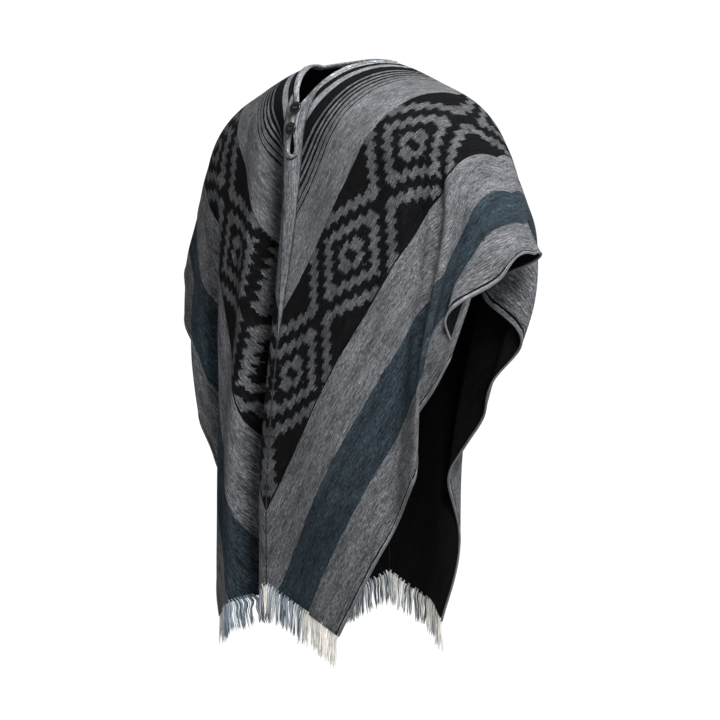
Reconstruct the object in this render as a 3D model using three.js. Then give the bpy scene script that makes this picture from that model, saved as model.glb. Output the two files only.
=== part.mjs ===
// A loom-width poncho, worn. Two long striped panels are folded over the shoulders, sewn together at the
// centre front and centre back on the bias, and fringed at their ends. Millimetres, +Z up, front towards -Y.
// The origin is between the shoulders, level with the tops of the shoulders beside the neck.
import * as THREE from "three";

// ---- Cut sizes ----
const PANEL_WIDTH = 480;           // loom width, inner edge to outer selvedge
const PANEL_HALF_LENGTH = 775;     // shoulder fold to the fringe, front or back
const TILT = THREE.MathUtils.degToRad(28);   // lean of the warp from the vertical
const NECK_HALF_WIDTH = 75;        // shoulder point of the neck, from the centre
const NAPE_DROP = 22;              // centre back of the neckline, below the shoulder point
const NECK_CUT = 9;                // cut back from the neckline, for the binding
const FRINGE_LENGTH = 58;
const CLOTH = 2.4;                 // cloth thickness
const FRINGE_THICKNESS = 3;
const SEAM_GAP = 0.3;              // between pieces that are sewn to each other

// ---- Placket, binding and buttons ----
const PLACKET_TOP_HALF_WIDTH = 24;
const PLACKET_TOP = 117;           // flat distance below the shoulder line
const PLACKET_TIP = 500;
const SLIT_TOP = 144;
const SLIT_BOTTOM = 222;
const SLIT_HALF_GAP = 8.2;         // placket edge to centre, with the binding between
const SLIT_BELLY = 5;              // how far the open foot of the slit swells
const BINDING_HALF_WIDTH = 7;
const BINDING_SLIT_HALF_WIDTH = 3.1;
const BINDING_SLIT_CLEAR = 1.8;
const BINDING_HALF_THICKNESS = 2.6;
const BINDING_CLEAR = 1.8;         // from the neck edge to the binding's oval
const BUTTON = { radius: 10, thickness: 4, bevel: 0.8, holeRadius: 1.1, holeSpread: 2.8 };
const BUTTON_PLACES = { button_upper: 145, button_lower: 177 };   // flat distance below the shoulder line
const BUTTON_STAND_OFF = 4.2;

// ---- Mesh steps ----
const STEPS = { across: 18, down: 25, fringeDown: 2, placketRound: 24, placketAcross: 3, bindingSection: 8 };

const CLOSER_AT_SHOULDER = 1.35;   // rows are this power of even, so they lie closer at the neck

// The line over the shoulder and arm, and how far the cloth stands out before it hangs.
const SHOULDER = [
  { cloth: 0,   x: 0,   z: 26,   frontDepth: 142, frontDrop: 130, backDepth: 100, backDrop: 70 },
  { cloth: 75,  x: 72,  z: 12,   frontDepth: 140, frontDrop: 125, backDepth: 98,  backDrop: 72 },
  { cloth: 140, x: 132, z: -12,  frontDepth: 128, frontDrop: 115, backDepth: 95,  backDrop: 75 },
  { cloth: 210, x: 196, z: -44,  frontDepth: 108, frontDrop: 100, backDepth: 88,  backDrop: 72 },
  { cloth: 265, x: 234, z: -88,  frontDepth: 88,  frontDrop: 85,  backDepth: 76,  backDrop: 66 },
  { cloth: 325, x: 262, z: -140, frontDepth: 72,  frontDrop: 70,  backDepth: 62,  backDrop: 60 },
  { cloth: 400, x: 293, z: -204, frontDepth: 58,  frontDrop: 58,  backDepth: 52,  backDrop: 54 },
  { cloth: 500, x: 328, z: -280, frontDepth: 44,  frontDrop: 46,  backDepth: 42,  backDrop: 46 },
];

// How each hanging sheet sways: in towards the centre low down, and under the arm; forward below the chest
// and below the arm. lift raises the arm's end.
const HANG = {
  front_left:  { drawIn: 0.04, tuckIn: 0.12, forward: 56,  armForward: 60, lift: 12 },
  front_right: { drawIn: 0.34, tuckIn: 0.16, forward: 56,  armForward: 60, lift: -6 },
  back_left:   { drawIn: 0.36, tuckIn: 0.08, forward: -20, armForward: -20, lift: 12 },
  back_right:  { drawIn: 0.30, tuckIn: 0.06, forward: -20, armForward: -20, lift: -6 },
};

// Ridges (out > 0) and troughs (out < 0), each at a flat distance from the centre seam. slide leans it
// sideways. It starts at start and is full at full, below the shoulder fold.
const FOLDS = {
  front_left: [
    { at: 0,   width: 22, out: 6,   slide: 0,   start: 130, full: 250 },
    { at: 120, width: 50, out: 6,   slide: 0,   start: 200, full: 500 },
    { at: 225, width: 24, out: -16, slide: 0,   start: 60,  full: 300 },
    { at: 275, width: 22, out: 14,  slide: 4,   start: 30,  full: 220 },
    { at: 330, width: 26, out: -12, slide: -16, start: 80,  full: 340 },
    { at: 385, width: 24, out: 8,   slide: -10, start: 60,  full: 220 },
    { at: 430, width: 26, out: -12, slide: -58, start: 20,  full: 140 },
  ],
  front_right: [
    { at: 0,   width: 22, out: 6,   slide: 0,   start: 130, full: 250 },
    { at: 45,  width: 15, out: -45, slide: 0,   start: 140, full: 300 },
    { at: 85,  width: 22, out: 10,  slide: 0,   start: 150, full: 400 },
    { at: 150, width: 28, out: 6,   slide: 0,   start: 150, full: 450 },
    { at: 225, width: 28, out: -45, slide: 0,   start: 120, full: 400 },
    { at: 325, width: 32, out: 16,  slide: 6,   start: 80,  full: 350 },
    { at: 420, width: 22, out: 12,  slide: 0,   start: 30,  full: 200 },
  ],
  back_left: [
    { at: 60,  width: 30, out: 10,  slide: 0,   start: 200, full: 500 },
    { at: 130, width: 30, out: -16, slide: 0,   start: 150, full: 500 },
    { at: 200, width: 30, out: 10,  slide: 0,   start: 120, full: 400 },
    { at: 265, width: 25, out: -18, slide: 0,   start: 100, full: 350 },
    { at: 330, width: 24, out: 14,  slide: 0,   start: 60,  full: 300 },
    { at: 395, width: 22, out: 16,  slide: -16, start: 30,  full: 200 },
    { at: 450, width: 26, out: -84, slide: -30, start: 10,  full: 80 },
  ],
  back_right: [
    { at: 50,  width: 30, out: -12, slide: 0,   start: 200, full: 500 },
    { at: 115, width: 30, out: 14,  slide: 0,   start: 150, full: 500 },
    { at: 180, width: 30, out: -20, slide: 0,   start: 120, full: 400 },
    { at: 240, width: 25, out: 20,  slide: 0,   start: 100, full: 350 },
    { at: 310, width: 26, out: -24, slide: 0,   start: 80,  full: 300 },
    { at: 380, width: 24, out: 22,  slide: 0,   start: 50,  full: 200 },
    { at: 440, width: 20, out: -18, slide: 0,   start: 20,  full: 100 },
  ],
};

const COLOURS = { charcoal: 0x4a4d52, placket: 0x6d7075, binding: 0x8b8e92, fringe: 0xc9cdd0, horn: 0x1d1c1b };

function smoothstep(from, to, value) {
  const t = THREE.MathUtils.clamp((value - from) / (to - from), 0, 1);
  return t * t * (3 - 2 * t);
}

// A smooth curve through one column of the shoulder table, level at the centre.
function alongShoulder(column, cloth) {
  const rows = SHOULDER;
  const slope = (i) => {
    if (i === 0) return column === "x" ? rows[1].x / rows[1].cloth : 0;
    const before = rows[i - 1];
    const after = rows[Math.min(i + 1, rows.length - 1)];
    return (after[column] - before[column]) / (after.cloth - before.cloth);
  };
  let i = 0;
  while (i < rows.length - 2 && cloth > rows[i + 1].cloth) i += 1;
  const span = rows[i + 1].cloth - rows[i].cloth;
  const t = (cloth - rows[i].cloth) / span;
  const t2 = t * t;
  const t3 = t2 * t;
  return (2 * t3 - 3 * t2 + 1) * rows[i][column] + (t3 - 2 * t2 + t) * span * slope(i)
    + (3 * t2 - 2 * t3) * rows[i + 1][column] + (t3 - t2) * span * slope(i + 1);
}

// Flat height of the shoulder fold at a flat distance from the centre seam. It rounds off inside the neck.
function foldLine(x) {
  const inside = (x * x) / (2 * NECK_HALF_WIDTH) - NECK_HALF_WIDTH / 2;
  return Math.tan(TILT) * (x < NECK_HALF_WIDTH ? inside : x - NECK_HALF_WIDTH);
}

// Where a flat point of the cloth lies when worn. x is from the centre seam, y is down from the shoulder point.
function worn(face, side, x, y) {
  const sheet = `${face}_${side}`;
  const hang = HANG[sheet];
  const below = y - foldLine(x);
  const depth = alongShoulder(`${face}Depth`, x);
  const drop = alongShoulder(`${face}Drop`, x);
  const roundLength = (Math.PI / 2) * Math.hypot(depth, drop) / Math.SQRT2;
  const turn = (Math.PI / 2) * THREE.MathUtils.clamp(below / roundLength, -0.05, 1);
  const hanging = Math.max(0, below - roundLength);
  const deep = smoothstep(0, 550, hanging);
  const soon = smoothstep(0, 300, hanging);
  const underArm = smoothstep(150, 320, x);

  let out = depth * Math.sin(turn) + hang.forward * deep * (1 - underArm) + hang.armForward * soon * underArm;
  let across = alongShoulder("x", x);
  const inner = sheet === "back_left" ? 100 : 40;
  across *= 1 - hang.drawIn * deep * smoothstep(inner, 240, x) - hang.tuckIn * soon * smoothstep(200, 400, x);
  const height = alongShoulder("z", x) + hang.lift * smoothstep(150, 500, x)
    - drop * (1 - Math.cos(turn)) - hanging;

  const facing = 1.15 * Math.pow(Math.min(x, 500) / 500, 1.4);
  for (const fold of FOLDS[sheet]) {
    const away = (x - fold.at) / fold.width;
    const atSeam = fold.at > 0 ? smoothstep(0, 20, x) : 1;
    const share = Math.exp(-away * away) * smoothstep(fold.start, fold.full, below) * atSeam;
    across += share * (fold.out * Math.sin(facing) + fold.slide * Math.cos(facing));
    out += share * (fold.out * Math.cos(facing) - fold.slide * Math.sin(facing));
  }
  return new THREE.Vector3(side === "left" ? across : -across, face === "front" ? -out : out, height);
}

// The cloth's outward direction at a flat point.
function outward(face, side, x, y) {
  const step = 1.5;
  const across = worn(face, side, x + step, y).sub(worn(face, side, Math.max(0, x - step), y));
  const down = worn(face, side, x, y + step).sub(worn(face, side, x, y - step));
  const sign = (face === "front" ? -1 : 1) * (side === "left" ? 1 : -1);
  return across.cross(down).multiplyScalar(sign).normalize();
}

// Panel coordinates (u across from the neck edge, v along the warp from the fold) to flat coordinates.
function flatFromPanel(u, v) {
  return [
    NECK_HALF_WIDTH + u * Math.cos(TILT) - v * Math.sin(TILT),
    u * Math.sin(TILT) + v * Math.cos(TILT),
  ];
}

// A point of the cloth's middle surface, moved out by offset.
function clothPoint(face, side, x, y, offset) {
  return worn(face, side, x, y).addScaledVector(outward(face, side, x, y), offset);
}

// A closed wall from a grid of sheet places: rows of [face, side, x, y].
function wall(grid, thickness) {
  const rows = grid.length;
  const columns = grid[0].length;
  const positions = [];
  for (const offset of [thickness / 2, -thickness / 2]) {
    for (const row of grid) {
      for (const place of row) positions.push(...clothPoint(...place, offset).toArray());
    }
  }
  const outer = (i, j) => i * columns + j;
  const inner = (i, j) => rows * columns + i * columns + j;
  const index = [];
  const quad = (a, b, c, d) => index.push(a, b, c, a, c, d);
  for (let i = 0; i + 1 < rows; i += 1) {
    for (let j = 0; j + 1 < columns; j += 1) {
      quad(outer(i, j), outer(i + 1, j), outer(i + 1, j + 1), outer(i, j + 1));
      quad(inner(i, j), inner(i, j + 1), inner(i + 1, j + 1), inner(i + 1, j));
    }
    quad(outer(i, 0), inner(i, 0), inner(i + 1, 0), outer(i + 1, 0));
    quad(outer(i, columns - 1), outer(i + 1, columns - 1), inner(i + 1, columns - 1), inner(i, columns - 1));
  }
  for (let j = 0; j + 1 < columns; j += 1) {
    quad(outer(0, j), outer(0, j + 1), inner(0, j + 1), inner(0, j));
    quad(outer(rows - 1, j), inner(rows - 1, j), inner(rows - 1, j + 1), outer(rows - 1, j + 1));
  }
  return closedGeometry(positions, index);
}

// A geometry whose faces point out, whichever way its index was wound.
function closedGeometry(positions, index) {
  let volume = 0;
  const at = (i) => new THREE.Vector3().fromArray(positions, 3 * i);
  for (let i = 0; i < index.length; i += 3) {
    volume += at(index[i]).dot(at(index[i + 1]).cross(at(index[i + 2])));
  }
  if (volume < 0) {
    for (let i = 0; i < index.length; i += 3) [index[i + 1], index[i + 2]] = [index[i + 2], index[i + 1]];
  }
  const geometry = new THREE.BufferGeometry();
  geometry.setAttribute("position", new THREE.Float32BufferAttribute(positions, 3));
  geometry.setIndex(index);
  geometry.computeVertexNormals();
  return geometry;
}

// Half width of the wedge-shaped placket at a flat height.
function placketHalfWidth(y) {
  const share = (PLACKET_TIP - y) / (PLACKET_TIP - PLACKET_TOP);
  return PLACKET_TOP_HALF_WIDTH * THREE.MathUtils.clamp(share, 0, 1);
}

// Where a panel starts, across from its neck edge, at a place along its warp.
function innerEdge(face, v) {
  const seamAt = (half) => (half - NECK_HALF_WIDTH + v * Math.sin(TILT)) / Math.cos(TILT);
  if (face === "front") {
    let u = seamAt(SEAM_GAP / 2);
    for (let pass = 0; pass < 8; pass += 1) {
      const y = flatFromPanel(u, v)[1];
      u = seamAt(Math.max(placketHalfWidth(y) + SEAM_GAP, SEAM_GAP / 2));
    }
    return Math.max(NECK_CUT, u);
  }
  const napeV = napeCorner()[1];
  return v >= napeV ? seamAt(SEAM_GAP / 2) : napeEdge(v);
}

// Centre back of the neckline in panel coordinates.
function napeCorner() {
  const reach = Math.hypot(NECK_HALF_WIDTH, NAPE_DROP);
  const angle = TILT + Math.atan2(NAPE_DROP, NECK_HALF_WIDTH);
  return [-reach * Math.cos(angle), reach * Math.sin(angle)];
}

// The neckline behind the shoulder point: across the panel, at a place along its warp.
function napeEdge(v) {
  const [u, full] = napeCorner();
  const t = v / full;
  return NECK_CUT + (u - NECK_CUT) * t * (0.35 + 0.65 * t);
}

function panelGrid(side) {
  const rows = [];
  for (let i = -STEPS.down; i <= STEPS.down; i += 1) {
    const face = i > 0 ? "front" : "back";
    const v = PANEL_HALF_LENGTH * Math.pow(Math.abs(i) / STEPS.down, CLOSER_AT_SHOULDER);
    const start = innerEdge(face, v);
    const row = [];
    for (let j = 0; j <= STEPS.across; j += 1) {
      const u = start + (PANEL_WIDTH - start) * (j / STEPS.across);
      row.push([face, side, ...flatFromPanel(u, v)]);
    }
    rows.push(row);
  }
  return rows;
}

function fringeGrid(face, side) {
  const rows = [];
  const across = STEPS.across;
  for (let i = 0; i <= STEPS.fringeDown; i += 1) {
    const v = PANEL_HALF_LENGTH + 2 * SEAM_GAP + FRINGE_LENGTH * (i / STEPS.fringeDown);
    const start = innerEdge(face, v);
    const row = [];
    for (let j = 0; j <= across; j += 1) {
      const u = start + (PANEL_WIDTH - start) * (j / across);
      row.push([face, side, ...flatFromPanel(u, v)]);
    }
    rows.push(row);
  }
  return rows;
}

// The placket runs round its slit, from the right top, round the foot, to the left top.
function placketGrid() {
  const rows = [];
  for (let i = 0; i <= STEPS.placketRound; i += 1) {
    const swing = (2 * i) / STEPS.placketRound - 1;
    const side = swing < 0 ? "right" : "left";
    const away = Math.abs(swing);
    const outerY = PLACKET_TIP - (PLACKET_TIP - PLACKET_TOP) * away;
    const outerX = placketHalfWidth(outerY);
    const foot = Math.min(1, away * 3) * (Math.PI / 2);
    const innerY = away < 1 / 3
      ? SLIT_BOTTOM - slitHalfGap(SLIT_BOTTOM) * (1 - Math.cos(foot))
      : THREE.MathUtils.mapLinear(away, 1 / 3, 1, SLIT_BOTTOM - slitHalfGap(SLIT_BOTTOM), SLIT_TOP);
    const innerX = slitHalfGap(innerY) * Math.sin(foot);
    const row = [];
    for (let j = 0; j <= STEPS.placketAcross; j += 1) {
      const t = j / STEPS.placketAcross;
      row.push(["front", side, THREE.MathUtils.lerp(innerX, outerX, t), THREE.MathUtils.lerp(innerY, outerY, t)]);
    }
    rows.push(row);
  }
  return rows;
}

// Half the gap that the placket leaves for the slit and its binding.
function slitHalfGap(y) {
  return SLIT_HALF_GAP + SLIT_BELLY * smoothstep(SLIT_TOP + 30, SLIT_BOTTOM - 20, y);
}

// The centre line of the binding on one side, from the foot of the slit round to the nape.
function bindingLine() {
  const line = [];
  const slitInset = BINDING_SLIT_HALF_WIDTH + BINDING_SLIT_CLEAR;
  for (let i = 0; i <= 4; i += 1) {
    const turn = (Math.PI / 2) * (i / 4);
    const reach = slitHalfGap(SLIT_BOTTOM) - slitInset;
    line.push({
      face: "front", x: reach * Math.sin(turn),
      y: SLIT_BOTTOM - slitHalfGap(SLIT_BOTTOM) + reach * Math.cos(turn), half: BINDING_SLIT_HALF_WIDTH,
    });
  }
  for (let i = 1; i <= 4; i += 1) {
    const y = THREE.MathUtils.lerp(SLIT_BOTTOM - slitHalfGap(SLIT_BOTTOM), SLIT_TOP - 4, i / 4);
    line.push({ face: "front", x: slitHalfGap(y) - slitInset, y, half: BINDING_SLIT_HALF_WIDTH });
  }
  const neckRows = 7;
  for (let i = 1; i <= neckRows; i += 1) {
    const half = THREE.MathUtils.lerp(BINDING_SLIT_HALF_WIDTH, BINDING_HALF_WIDTH, Math.min(1, i / 4));
    const [x, y] = flatFromPanel(NECK_CUT - half - BINDING_CLEAR, THREE.MathUtils.lerp(146, 0, i / neckRows));
    line.push({ face: "front", x, y, half });
  }
  const napeRows = 7;
  const napeV = napeCorner()[1];
  for (let i = 1; i <= napeRows; i += 1) {
    const v = napeV * (i / napeRows);
    const [x, y] = flatFromPanel(napeEdge(v), v);
    const [xNext, yNext] = flatFromPanel(napeEdge(v + 0.5), v + 0.5);
    const run = Math.hypot(xNext - x, yNext - y);
    const away = (BINDING_HALF_WIDTH + BINDING_CLEAR) / run;
    const across = i === napeRows ? 0 : x - (yNext - y) * away;
    line.push({ face: "back", x: across, y: y + (xNext - x) * away, half: BINDING_HALF_WIDTH });
  }
  return line;
}

// A closed loop of binding: an oval section carried round the neck and down both edges of the slit.
function bindingGeometry() {
  const half = bindingLine();
  const loop = half.map((place) => ({ ...place, side: "left" }));
  for (const place of half.slice(1, -1).reverse()) loop.push({ ...place, side: "right" });
  const centres = loop.map((p) => worn(p.face, p.side, p.x, p.y));
  const positions = [];
  loop.forEach((place, i) => {
    const before = centres[(i + loop.length - 1) % loop.length];
    const after = centres[(i + 1) % loop.length];
    const along = after.clone().sub(before).normalize();
    const up = outward(place.face, place.side, place.x, place.y);
    const wide = along.clone().cross(up).normalize();
    const normal = wide.clone().cross(along).normalize();
    for (let k = 0; k < STEPS.bindingSection; k += 1) {
      const angle = (2 * Math.PI * k) / STEPS.bindingSection;
      const point = centres[i].clone()
        .addScaledVector(wide, place.half * Math.cos(angle))
        .addScaledVector(normal, BINDING_HALF_THICKNESS * Math.sin(angle));
      positions.push(...point.toArray());
    }
  });
  const index = [];
  const n = STEPS.bindingSection;
  for (let i = 0; i < loop.length; i += 1) {
    const next = (i + 1) % loop.length;
    for (let k = 0; k < n; k += 1) {
      const k2 = (k + 1) % n;
      index.push(i * n + k, next * n + k, next * n + k2, i * n + k, next * n + k2, i * n + k2);
    }
  }
  return closedGeometry(positions, index);
}

// A four-hole button, its axis along +Z, its back at z = 0.
function buttonGeometry() {
  const face = new THREE.Shape().absarc(0, 0, BUTTON.radius - BUTTON.bevel, 0, 2 * Math.PI);
  for (let i = 0; i < 4; i += 1) {
    const angle = Math.PI / 4 + (i * Math.PI) / 2;
    const hole = new THREE.Path();
    const [hx, hy] = [BUTTON.holeSpread * Math.cos(angle), BUTTON.holeSpread * Math.sin(angle)];
    hole.absarc(hx, hy, BUTTON.holeRadius + BUTTON.bevel, 0, 2 * Math.PI, true);
    face.holes.push(hole);
  }
  const geometry = new THREE.ExtrudeGeometry(face, {
    depth: BUTTON.thickness - 2 * BUTTON.bevel, steps: 1, curveSegments: 8,
    bevelEnabled: true, bevelThickness: BUTTON.bevel, bevelSize: BUTTON.bevel, bevelSegments: 1,
  });
  geometry.translate(0, 0, BUTTON.bevel);
  return geometry;
}

function material(name, roughness) {
  return new THREE.MeshStandardMaterial({ color: COLOURS[name], roughness, metalness: 0, side: THREE.DoubleSide });
}

function piece(name, geometry, finish) {
  const mesh = new THREE.Mesh(geometry, finish);
  mesh.name = name;
  return mesh;
}

const poncho = new THREE.Group();
const wool = material("charcoal", 0.95);
const fringeWool = material("fringe", 0.95);
for (const side of ["left", "right"]) {
  poncho.add(piece(`panel_${side}`, wall(panelGrid(side), CLOTH), wool));
  for (const face of ["front", "back"]) {
    poncho.add(piece(`fringe_${face}_${side}`, wall(fringeGrid(face, side), FRINGE_THICKNESS), fringeWool));
  }
}
poncho.add(piece("placket", wall(placketGrid(), CLOTH), material("placket", 0.95)));
poncho.add(piece("neck_binding", bindingGeometry(), material("binding", 0.9)));

const horn = material("horn", 0.35);
for (const [name, y] of Object.entries(BUTTON_PLACES)) {
  const button = piece(name, buttonGeometry(), horn);
  const normal = outward("front", "left", 0, y).setX(0).normalize();
  button.position.copy(worn("front", "left", 0, y).addScaledVector(normal, BUTTON_STAND_OFF));
  button.quaternion.setFromUnitVectors(new THREE.Vector3(0, 0, 1), normal);
  poncho.add(button);
}

export default poncho;
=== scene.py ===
"""An andean poncho as worn: two striped wool panels, a bound and buttoned slit, and fringed ends.

Metres, +Z up, front towards -Y, the wearer's left towards +X.
"""
import math

import bmesh
import bpy
import numpy as np
from bpy.props import FloatProperty, FloatVectorProperty, IntProperty, PointerProperty
from mathutils import Matrix, Vector


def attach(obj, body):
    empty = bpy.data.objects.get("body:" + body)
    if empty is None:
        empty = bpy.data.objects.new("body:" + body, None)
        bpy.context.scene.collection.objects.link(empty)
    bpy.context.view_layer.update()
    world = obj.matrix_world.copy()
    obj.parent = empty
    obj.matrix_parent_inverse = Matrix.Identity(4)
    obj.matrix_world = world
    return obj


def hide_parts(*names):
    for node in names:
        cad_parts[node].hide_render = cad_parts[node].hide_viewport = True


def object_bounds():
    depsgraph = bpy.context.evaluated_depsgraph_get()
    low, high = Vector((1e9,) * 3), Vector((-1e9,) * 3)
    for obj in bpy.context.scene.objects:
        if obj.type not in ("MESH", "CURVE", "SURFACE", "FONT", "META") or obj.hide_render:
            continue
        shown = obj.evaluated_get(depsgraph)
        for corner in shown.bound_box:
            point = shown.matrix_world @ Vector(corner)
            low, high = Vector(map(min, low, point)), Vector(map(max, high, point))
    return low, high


bl_info = {
    "name": "Andean poncho",
    "version": (1, 0, 0),
    "blender": (4, 5, 0),
    "location": "View3D > Sidebar > Poncho",
    "description": "Builds a worn loom-width poncho with its fringe, binding, seams and buttons",
    "category": "Object",
}

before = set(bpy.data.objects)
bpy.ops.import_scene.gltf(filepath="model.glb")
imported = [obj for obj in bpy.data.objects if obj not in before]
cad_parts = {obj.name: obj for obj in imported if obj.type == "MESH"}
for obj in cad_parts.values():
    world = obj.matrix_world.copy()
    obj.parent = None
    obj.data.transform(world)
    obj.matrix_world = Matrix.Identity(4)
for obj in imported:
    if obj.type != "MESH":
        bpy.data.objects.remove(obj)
CAD_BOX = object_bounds()

SIDES = ("left", "right")

# ---- Cut ----
PANEL_WIDTH = 0.480
PANEL_HALF_LENGTH = 0.775
TILT = math.radians(28)
NECK_HALF_WIDTH = 0.075
NAPE_DROP = 0.022
NECK_CUT = 0.009
CLOTH = 0.0024
SEAM_GAP = 0.0003

# ---- Placket and slit ----
PLACKET_TOP_HALF_WIDTH = 0.024
PLACKET_TOP = 0.117
PLACKET_TIP = 0.500
SEAM_START = 0.130
SLIT_TOP = 0.144
SLIT_BOTTOM = 0.222
SLIT_HALF_GAP = 0.0082
SLIT_BELLY = 0.005
BINDING_SLIT_HALF_WIDTH = 0.0031
BINDING_SLIT_CLEAR = 0.0018
BINDING_CLEAR = 0.0018
BINDING_STEP = 0.0016
BINDING_HALF_THICKNESS = 0.0027
BUTTON_PLACES = {"button_upper": 0.145, "button_lower": 0.177}
BUTTON_STAND_OFF = 0.0042
PLACKET_STEPS = (160, 20)              # round the slit, and from the slit to the wedge's edge

# ---- Bands of the weave, across a panel from the neck edge ----
DIAMOND_BAND = (0.145, 0.275)
DIAMOND_REPEAT = 0.185
DIAMOND_FIRST = 0.120
DIAMOND_STEPS = 7                      # steps from a diamond's middle to its corner
# Where the grey rings start and end, as shares of the way from one diamond's middle to the next.
DIAMOND_RINGS = ((0.088, 0.188), (0.305, 0.422), (0.562, 0.685))
RING_SOFTNESS = 0.022
STRIPES = (
    (0.0000, "black"), (0.0170, "pale"), (0.0285, "black"), (0.0480, "grey"), (0.0510, "black"),
    (0.0570, "grey"), (0.0605, "black"), (0.0650, "grey"), (0.0690, "black"), (0.0725, "grey"),
    (0.0770, "black"), (0.0795, "grey"), (0.0850, "black"), (0.0867, "grey"), (0.1430, "black"),
    (0.2765, "grey"), (0.3480, "slate"), (0.4160, "grey"), (0.4735, "black"), (0.4760, "pale"),
)

# ---- How the cloth lies on the shoulders ----
# Cloth distance from the centre, where it lies, and how far it stands out and drops before it hangs.
SHOULDER_COLUMNS = ("cloth", "x", "z", "front_depth", "front_drop", "back_depth", "back_drop")
SHOULDER = np.array((
    (0.000, 0.000, 0.026, 0.142, 0.130, 0.100, 0.070),
    (0.075, 0.072, 0.012, 0.140, 0.125, 0.098, 0.072),
    (0.140, 0.132, -0.012, 0.128, 0.115, 0.095, 0.075),
    (0.210, 0.196, -0.044, 0.108, 0.100, 0.088, 0.072),
    (0.265, 0.234, -0.088, 0.088, 0.085, 0.076, 0.066),
    (0.325, 0.262, -0.140, 0.072, 0.070, 0.062, 0.060),
    (0.400, 0.293, -0.204, 0.058, 0.058, 0.052, 0.054),
    (0.500, 0.328, -0.280, 0.044, 0.046, 0.042, 0.046),
))

# How each hanging sheet sways: in towards the centre, in under the arm, forward, forward below the arm,
# up at the arm, and how far from the centre the cloth starts to be drawn in.
HANG_COLUMNS = ("draw_in", "tuck_in", "forward", "arm_forward", "lift", "still")
HANG = {
    "front_left": (0.04, 0.12, 0.056, 0.060, 0.012, 0.04),
    "front_right": (0.34, 0.16, 0.056, 0.060, -0.006, 0.04),
    "back_left": (0.36, 0.08, -0.020, -0.020, 0.012, 0.10),
    "back_right": (0.30, 0.06, -0.020, -0.020, -0.006, 0.04),
}
SWAY_LENGTH = 0.550                    # hanging length over which a sheet takes its full sway
ARM_SWAY_LENGTH = 0.300
ARM_TURN = 1.15                        # how far the cloth at the selvedge faces sideways, in radians
ARM_TURN_POWER = 1.4

# Folds: distance from the centre, width, out (troughs are negative), sideways lean, start and full height.
FOLDS = {
    "front_left": (
        (0.000, 0.022, 0.006, 0.000, 0.130, 0.250),
        (0.120, 0.050, 0.006, 0.000, 0.200, 0.500),
        (0.225, 0.024, -0.016, 0.000, 0.060, 0.300),
        (0.275, 0.022, 0.014, 0.004, 0.030, 0.220),
        (0.330, 0.026, -0.012, -0.016, 0.080, 0.340),
        (0.385, 0.024, 0.008, -0.010, 0.060, 0.220),
        (0.430, 0.026, -0.012, -0.058, 0.020, 0.140),
    ),
    "front_right": (
        (0.000, 0.022, 0.006, 0.000, 0.130, 0.250),
        (0.045, 0.015, -0.045, 0.000, 0.140, 0.300),
        (0.085, 0.022, 0.010, 0.000, 0.150, 0.400),
        (0.150, 0.028, 0.006, 0.000, 0.150, 0.450),
        (0.225, 0.028, -0.045, 0.000, 0.120, 0.400),
        (0.325, 0.032, 0.016, 0.006, 0.080, 0.350),
        (0.420, 0.022, 0.012, 0.000, 0.030, 0.200),
    ),
    "back_left": (
        (0.060, 0.030, 0.010, 0.000, 0.200, 0.500),
        (0.130, 0.030, -0.016, 0.000, 0.150, 0.500),
        (0.200, 0.030, 0.010, 0.000, 0.120, 0.400),
        (0.265, 0.025, -0.018, 0.000, 0.100, 0.350),
        (0.330, 0.024, 0.014, 0.000, 0.060, 0.300),
        (0.395, 0.022, 0.016, -0.016, 0.030, 0.200),
        (0.450, 0.026, -0.084, -0.030, 0.010, 0.080),
    ),
    "back_right": (
        (0.050, 0.030, -0.012, 0.000, 0.200, 0.500),
        (0.115, 0.030, 0.014, 0.000, 0.150, 0.500),
        (0.180, 0.030, -0.020, 0.000, 0.120, 0.400),
        (0.240, 0.025, 0.020, 0.000, 0.100, 0.350),
        (0.310, 0.026, -0.024, 0.000, 0.080, 0.300),
        (0.380, 0.024, 0.022, 0.000, 0.050, 0.200),
        (0.440, 0.020, -0.018, 0.000, 0.020, 0.100),
    ),
}

# Small creases on top of the folds: distance, width, height, start and end below the shoulder, and lean.
CREASES = {
    "front_left": (
        (0.252, 0.009, -0.0085, 0.02, 0.46, 0.02),
        (0.272, 0.010, 0.0050, 0.03, 0.42, 0.02),
        (0.095, 0.012, 0.0016, 0.10, 0.40, -0.05),
        (0.170, 0.014, -0.0022, 0.16, 0.60, -0.10),
        (0.205, 0.016, 0.0026, 0.12, 0.46, -0.06),
        (0.290, 0.010, -0.0024, 0.06, 0.30, -0.12),
        (0.345, 0.011, 0.0026, 0.05, 0.26, -0.10),
    ),
    "front_right": (
        (0.110, 0.012, -0.0026, 0.10, 0.42, 0.04),
        (0.190, 0.014, 0.0030, 0.14, 0.52, -0.05),
        (0.265, 0.012, -0.0026, 0.10, 0.42, -0.08),
        (0.360, 0.012, -0.0028, 0.04, 0.26, -0.08),
    ),
    "back_left": (
        (0.095, 0.014, -0.0022, 0.10, 0.46, 0.05),
        (0.165, 0.014, 0.0026, 0.14, 0.56, -0.05),
        (0.235, 0.012, 0.0024, 0.10, 0.42, -0.08),
        (0.300, 0.012, -0.0026, 0.08, 0.34, -0.08),
    ),
    "back_right": (
        (0.085, 0.014, 0.0022, 0.12, 0.50, 0.03),
        (0.150, 0.012, -0.0026, 0.12, 0.52, -0.05),
        (0.210, 0.012, 0.0024, 0.10, 0.46, -0.06),
        (0.345, 0.012, -0.0026, 0.06, 0.30, -0.08),
    ),
}


# ---------------------------------------------------------------- form

def smoothstep(start, end, value):
    t = np.clip((value - start) / (end - start), 0, 1)
    return t * t * (3 - 2 * t)


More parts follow.
